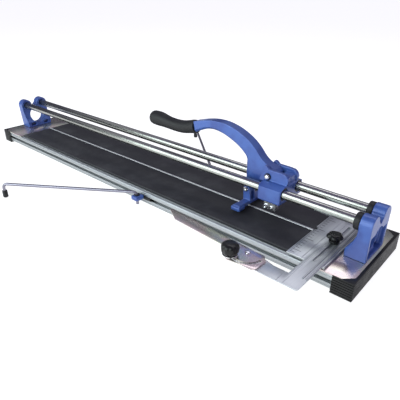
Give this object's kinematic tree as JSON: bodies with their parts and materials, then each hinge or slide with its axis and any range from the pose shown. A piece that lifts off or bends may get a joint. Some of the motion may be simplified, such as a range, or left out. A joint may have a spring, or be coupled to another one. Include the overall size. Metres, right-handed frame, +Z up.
{
  "type": "manual tile cutter",
  "caption": "Long manual tile cutter: aluminium bed with rubber pads, chrome guide rails, sliding carriage with a scoring handle, side support arms and an angle fence.",
  "frame": {"origin": "on the bench, under the middle of the cutting line", "axes": "+X along the guide rails towards the measuring fence, +Y across the bed, away from the angle blade, +Z up"},
  "size_m": [1.332, 0.7202, 0.232],
  "materials": {
    "blue_paint": "semi-gloss metallic paint on castings",
    "aluminium": "brushed and anodised",
    "chrome": "polished",
    "steel": "plated",
    "plate": "polished sheet",
    "black_plastic": "moulded, satin",
    "rubber": "matt"
  },
  "bodies": {
    "base": {"bed_extrusion": "aluminium", "end_cap_left": "black_plastic", "end_cap_right": "black_plastic", "end_plate_left": "plate", "end_plate_right": "plate", "pad_near": "rubber", "pad_far": "rubber", "break_strip": "aluminium", "fence_rail": "aluminium", "bracket_left": "blue_paint", "bracket_right": "blue_paint", "bumper_near": "rubber", "bumper_far": "rubber", "rail_near": "chrome", "rail_far": "chrome", "fence_stud": "steel", "fence_washer": "black_plastic"},
    "carriage": {"carriage_body": "blue_paint", "bushing_near": "black_plastic", "bushing_far": "black_plastic", "pivot_bolt": "steel", "pivot_washer": "black_plastic", "pivot_nut": "steel"},
    "handle": {"lever_casting": "blue_paint", "grip": "rubber", "wheel_holder": "steel", "wheel_axle": "steel", "holder_bolt": "chrome", "breaker_bolt": "chrome"},
    "wheel": {"scoring_wheel": "steel"},
    "foot": {"breaker_foot": "blue_paint"},
    "near_slide": {"arm_clamp_near": "blue_paint", "arm_slider_near": "black_plastic"},
    "near_arm": {"arm_rod_near": "chrome", "arm_tip_near": "rubber", "arm_collar_near": "black_plastic"},
    "far_slide": {"arm_clamp_far": "blue_paint", "arm_slider_far": "black_plastic"},
    "far_arm": {"arm_rod_far": "chrome", "arm_tip_far": "rubber", "arm_collar_far": "black_plastic"},
    "fence": {"fence_plate": "aluminium", "gauge_carrier": "aluminium", "blade_pivot_screw": "steel", "blade_stud": "steel", "blade_washer": "steel"},
    "knob_fence": {"fence_knob": "black_plastic"},
    "blade": {"angle_blade": "chrome"},
    "knob_blade": {"blade_knob": "black_plastic"}
  },
  "joints": [
    {"name": "carriage_slide", "type": "slide", "parent": "base", "child": "carriage", "axis": [1, 0, 0], "range_m": [-0.935, 0.125]},
    {"name": "handle_pivot", "type": "hinge", "parent": "carriage", "child": "handle", "pos_m": [0.413, 0, 0.1435], "axis": [0, 1, 0], "range_deg": [-3, 25]},
    {"name": "foot_rock", "type": "hinge", "parent": "handle", "child": "foot", "pos_m": [0.35, 0, 0.0895], "axis": [0, 1, 0], "range_deg": [-6, 6]},
    {"name": "wheel_spin", "type": "hinge", "parent": "handle", "child": "wheel", "pos_m": [0.419, 0, 0.062], "axis": [0, 1, 0], "continuous": true},
    {"name": "near_arm_slide", "type": "slide", "parent": "base", "child": "near_slide", "axis": [1, 0, 0], "range_m": [-0.69, 0.47]},
    {"name": "near_arm_swing", "type": "hinge", "parent": "near_slide", "child": "near_arm", "pos_m": [0.0934, -0.13, 0.03], "axis": [0, 0, 1], "range_deg": [-34, 56]},
    {"name": "far_arm_slide", "type": "slide", "parent": "base", "child": "far_slide", "axis": [1, 0, 0], "range_m": [-0.715, 0.45]},
    {"name": "far_arm_swing", "type": "hinge", "parent": "far_slide", "child": "far_arm", "pos_m": [0.1187, 0.13, 0.03], "axis": [0, 0, 1], "range_deg": [-49, 41]},
    {"name": "fence_slide", "type": "slide", "parent": "base", "child": "fence", "axis": [0, 1, 0], "range_m": [-0.07, 0.075]},
    {"name": "fence_knob_turn", "type": "hinge", "parent": "base", "child": "knob_fence", "pos_m": [0.582, -0.027, 0.06], "axis": [0, 0, 1], "range_deg": [0, 360]},
    {"name": "blade_swing", "type": "hinge", "parent": "fence", "child": "blade", "pos_m": [0.472, -0.171, 0.0476], "axis": [0, 0, 1], "range_deg": [-45, 3]},
    {"name": "blade_knob_turn", "type": "hinge", "parent": "fence", "child": "knob_blade", "pos_m": [0.44877, -0.19744, 0.06], "axis": [0, 0, 1], "range_deg": [0, 360]}
  ]
}
